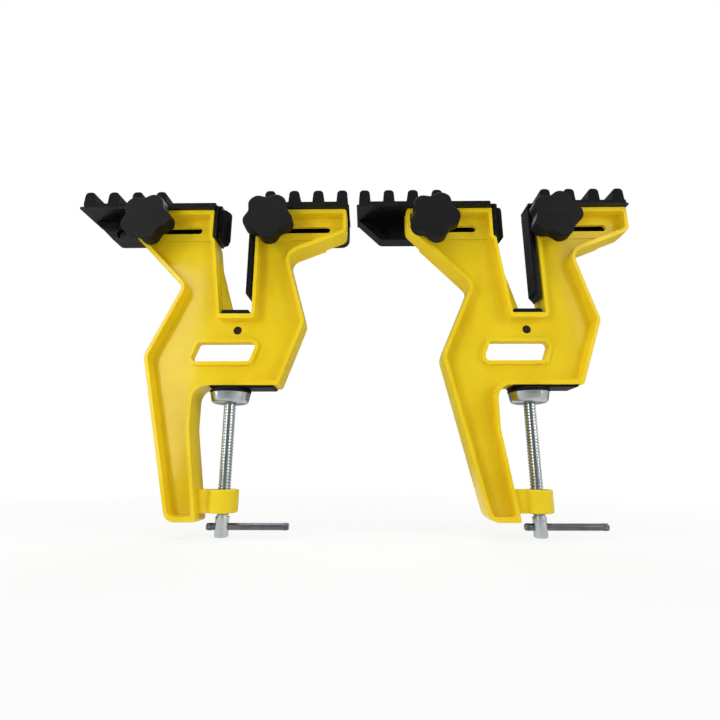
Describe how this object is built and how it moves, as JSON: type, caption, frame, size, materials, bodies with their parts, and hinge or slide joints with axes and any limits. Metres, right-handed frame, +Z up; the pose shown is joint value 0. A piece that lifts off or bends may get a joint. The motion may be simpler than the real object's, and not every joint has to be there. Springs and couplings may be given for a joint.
{
  "type": "ski vise pair",
  "caption": "Pair of bench clamps for tuning skis: cast frames with a slotted, padded ski slot between sliding jaws with rubber teeth, lobed knobs and a screw foot below.",
  "frame": {"origin": "on the left vise's spindle axis at the height of its bench seat, in the middle of the casting's depth", "axes": "+X to the right along the pair, +Y from the knobs towards the back, +Z up along the spindles"},
  "size_m": [0.5075, 0.0521, 0.3072],
  "materials": {
    "yellow_casting": "gloss powder coat on an aluminium casting",
    "black_rubber": "smooth black rubber",
    "brown_plastic": "dark brown, grained",
    "gloss_black": "gloss black nylon",
    "grey_rubber": "matt dark grey rubber, grained",
    "matt_black": "matt black nylon",
    "zinc": "bright zinc plated steel",
    "spring_steel": "bare drawn steel",
    "brass": "turned brass"
  },
  "bodies": {
    "vise_frames": {"left_frame": "yellow_casting", "left_bench_pad": "black_rubber", "left_gap_pad": "black_rubber", "left_web_plug": "brown_plastic", "right_frame": "yellow_casting", "right_bench_pad": "black_rubber", "right_gap_pad": "black_rubber", "right_web_plug": "brown_plastic"},
    "left_short_jaw": {"left_short_jaw": "gloss_black", "left_short_jaw_grip": "grey_rubber", "left_short_jaw_face": "grey_rubber", "left_short_jaw_bolt": "zinc"},
    "left_short_clamp_washer": {"left_short_jaw_washer": "zinc"},
    "left_short_clamp_knob": {"left_short_jaw_knob": "matt_black", "left_short_jaw_insert": "brass"},
    "left_long_jaw": {"left_long_jaw": "gloss_black", "left_long_jaw_grip": "grey_rubber", "left_long_jaw_face": "grey_rubber", "left_long_jaw_bolt": "zinc"},
    "left_long_clamp_washer": {"left_long_jaw_washer": "zinc"},
    "left_long_clamp_knob": {"left_long_jaw_knob": "matt_black", "left_long_jaw_insert": "brass"},
    "left_foot": {"left_foot_cup": "zinc", "left_foot_pad": "black_rubber"},
    "left_screw": {"left_spindle": "zinc", "left_foot_ring": "spring_steel"},
    "left_bar": {"left_tommy_bar": "spring_steel"},
    "right_short_jaw": {"right_short_jaw": "gloss_black", "right_short_jaw_grip": "grey_rubber", "right_short_jaw_face": "grey_rubber", "right_short_jaw_bolt": "zinc"},
    "right_short_clamp_washer": {"right_short_jaw_washer": "zinc"},
    "right_short_clamp_knob": {"right_short_jaw_knob": "matt_black", "right_short_jaw_insert": "brass"},
    "right_long_jaw": {"right_long_jaw": "gloss_black", "right_long_jaw_grip": "grey_rubber", "right_long_jaw_face": "grey_rubber", "right_long_jaw_bolt": "zinc"},
    "right_long_clamp_washer": {"right_long_jaw_washer": "zinc"},
    "right_long_clamp_knob": {"right_long_jaw_knob": "matt_black", "right_long_jaw_insert": "brass"},
    "right_foot": {"right_foot_cup": "zinc", "right_foot_pad": "black_rubber"},
    "right_screw": {"right_spindle": "zinc", "right_foot_ring": "spring_steel"},
    "right_bar": {"right_tommy_bar": "spring_steel"}
  },
  "joints": [
    {"name": "left_short_jaw_slide", "type": "slide", "parent": "vise_frames", "child": "left_short_jaw", "axis": [1, 0, 0], "range_m": [0, 0.016]},
    {"name": "left_short_washer_slide", "type": "slide", "parent": "left_short_jaw", "child": "left_short_clamp_washer", "axis": [0, 1, 0], "range_m": [-0.003, 0]},
    {"name": "left_short_knob_turn", "type": "hinge", "parent": "left_short_clamp_washer", "child": "left_short_clamp_knob", "pos_m": [-0.0785, 0, 0.15], "axis": [0, 1, 0], "range_deg": [-1080, 0]},
    {"name": "left_long_jaw_slide", "type": "slide", "parent": "vise_frames", "child": "left_long_jaw", "axis": [1, 0, 0], "range_m": [-0.004, 0]},
    {"name": "left_long_washer_slide", "type": "slide", "parent": "left_long_jaw", "child": "left_long_clamp_washer", "axis": [0, 1, 0], "range_m": [-0.003, 0]},
    {"name": "left_long_knob_turn", "type": "hinge", "parent": "left_long_clamp_washer", "child": "left_long_clamp_knob", "pos_m": [0.0305, 0, 0.15], "axis": [0, 1, 0], "range_deg": [-1080, 0]},
    {"name": "left_foot_slide", "type": "slide", "parent": "vise_frames", "child": "left_foot", "axis": [0, 0, 1], "range_m": [-0.06, 0]},
    {"name": "left_screw_turn", "type": "hinge", "parent": "left_foot", "child": "left_screw", "pos_m": [0, 0, -0.0948], "axis": [0, 0, 1], "range_deg": [-8640, 0]},
    {"name": "left_bar_slide", "type": "slide", "parent": "left_screw", "child": "left_bar", "axis": [1, 0, 0], "range_m": [-0.0435, 0.0012]},
    {"name": "right_short_jaw_slide", "type": "slide", "parent": "vise_frames", "child": "right_short_jaw", "axis": [1, 0, 0], "range_m": [0, 0.016]},
    {"name": "right_short_washer_slide", "type": "slide", "parent": "right_short_jaw", "child": "right_short_clamp_washer", "axis": [0, 1, 0], "range_m": [-0.003, 0]},
    {"name": "right_short_knob_turn", "type": "hinge", "parent": "right_short_clamp_washer", "child": "right_short_clamp_knob", "pos_m": [0.1795, 0, 0.15], "axis": [0, 1, 0], "range_deg": [-1080, 0]},
    {"name": "right_long_jaw_slide", "type": "slide", "parent": "vise_frames", "child": "right_long_jaw", "axis": [1, 0, 0], "range_m": [-0.0025, 0.0015]},
    {"name": "right_long_washer_slide", "type": "slide", "parent": "right_long_jaw", "child": "right_long_clamp_washer", "axis": [0, 1, 0], "range_m": [-0.003, 0]},
    {"name": "right_long_knob_turn", "type": "hinge", "parent": "right_long_clamp_washer", "child": "right_long_clamp_knob", "pos_m": [0.287, 0, 0.15], "axis": [0, 1, 0], "range_deg": [-1080, 0]},
    {"name": "right_foot_slide", "type": "slide", "parent": "vise_frames", "child": "right_foot", "axis": [0, 0, 1], "range_m": [-0.06, 0]},
    {"name": "right_screw_turn", "type": "hinge", "parent": "right_foot", "child": "right_screw", "pos_m": [0.258, 0, -0.0948], "axis": [0, 0, 1], "range_deg": [-8640, 0]},
    {"name": "right_bar_slide", "type": "slide", "parent": "right_screw", "child": "right_bar", "axis": [1, 0, 0], "range_m": [-0.0435, 0.0012]}
  ],
  "couplings": [
    {"joint": "left_short_knob_turn", "follows": "left_short_washer_slide", "rad_per_m": 6283.2},
    {"joint": "left_long_knob_turn", "follows": "left_long_washer_slide", "rad_per_m": 6283.2},
    {"joint": "left_screw_turn", "follows": "left_foot_slide", "rad_per_m": 2513.3},
    {"joint": "right_short_knob_turn", "follows": "right_short_washer_slide", "rad_per_m": 6283.2},
    {"joint": "right_long_knob_turn", "follows": "right_long_washer_slide", "rad_per_m": 6283.2},
    {"joint": "right_screw_turn", "follows": "right_foot_slide", "rad_per_m": 2513.3}
  ]
}
